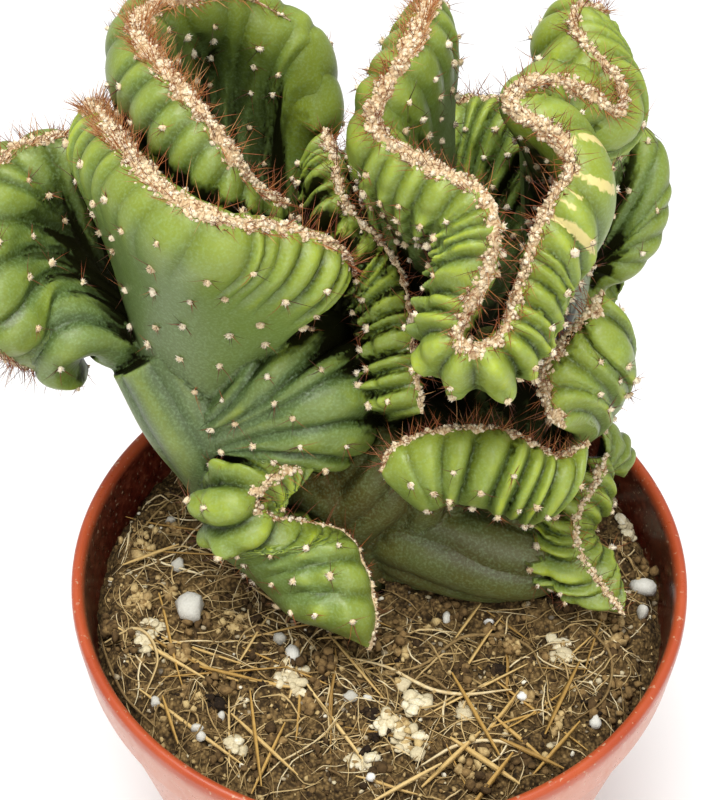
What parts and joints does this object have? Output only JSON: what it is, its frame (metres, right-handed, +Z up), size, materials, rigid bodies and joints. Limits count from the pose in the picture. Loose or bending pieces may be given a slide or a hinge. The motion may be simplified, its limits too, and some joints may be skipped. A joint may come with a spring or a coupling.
{
  "type": "potted spiral cereus",
  "caption": "Crested spiral cereus cactus with waved, ribbed fans edged in wool and spines, standing in growing mix in a round nursery pot.",
  "frame": {"origin": "centre of the underside of the pot, on the pot's axis", "axes": "+Z up along the pot's axis, -Y towards the side seen in the picture, +X to its right"},
  "size_m": [0.1485, 0.1447, 0.2242],
  "materials": {
    "pot_plastic": "moulded polypropylene, smooth and slightly glossy, with dust on the lip",
    "growing_mix": "loose dry mix of soil, coir, straw and perlite",
    "cactus_skin": "waxy living skin, lime green at the growing edges and grey green lower down",
    "areole_wool": "short cream wool with red-brown spines",
    "spine": "dry red-brown spines, darker towards the tip",
    "plant_fibre": "dry straw and coir fibre",
    "perlite": "matt white expanded grains and cream crust"
  },
  "bodies": {
    "root": {"pot": "pot_plastic", "growing_mix": "growing_mix", "cactus": "cactus_skin", "crest_wool_front_left": "areole_wool", "crest_wool_far_left": "areole_wool", "crest_wool_upper_left": "areole_wool", "crest_wool_top_spiral": "areole_wool", "crest_wool_top_spiral_2": "areole_wool", "crest_wool_top_spiral_3": "areole_wool", "crest_wool_front_low": "areole_wool", "crest_wool_centre": "areole_wool", "crest_wool_lower_left": "areole_wool", "crest_wool_lower_right": "areole_wool", "crest_wool_back_right": "areole_wool", "crest_wool_back_left": "areole_wool", "crest_wool_inner": "areole_wool"}
  },
  "joints": []
}
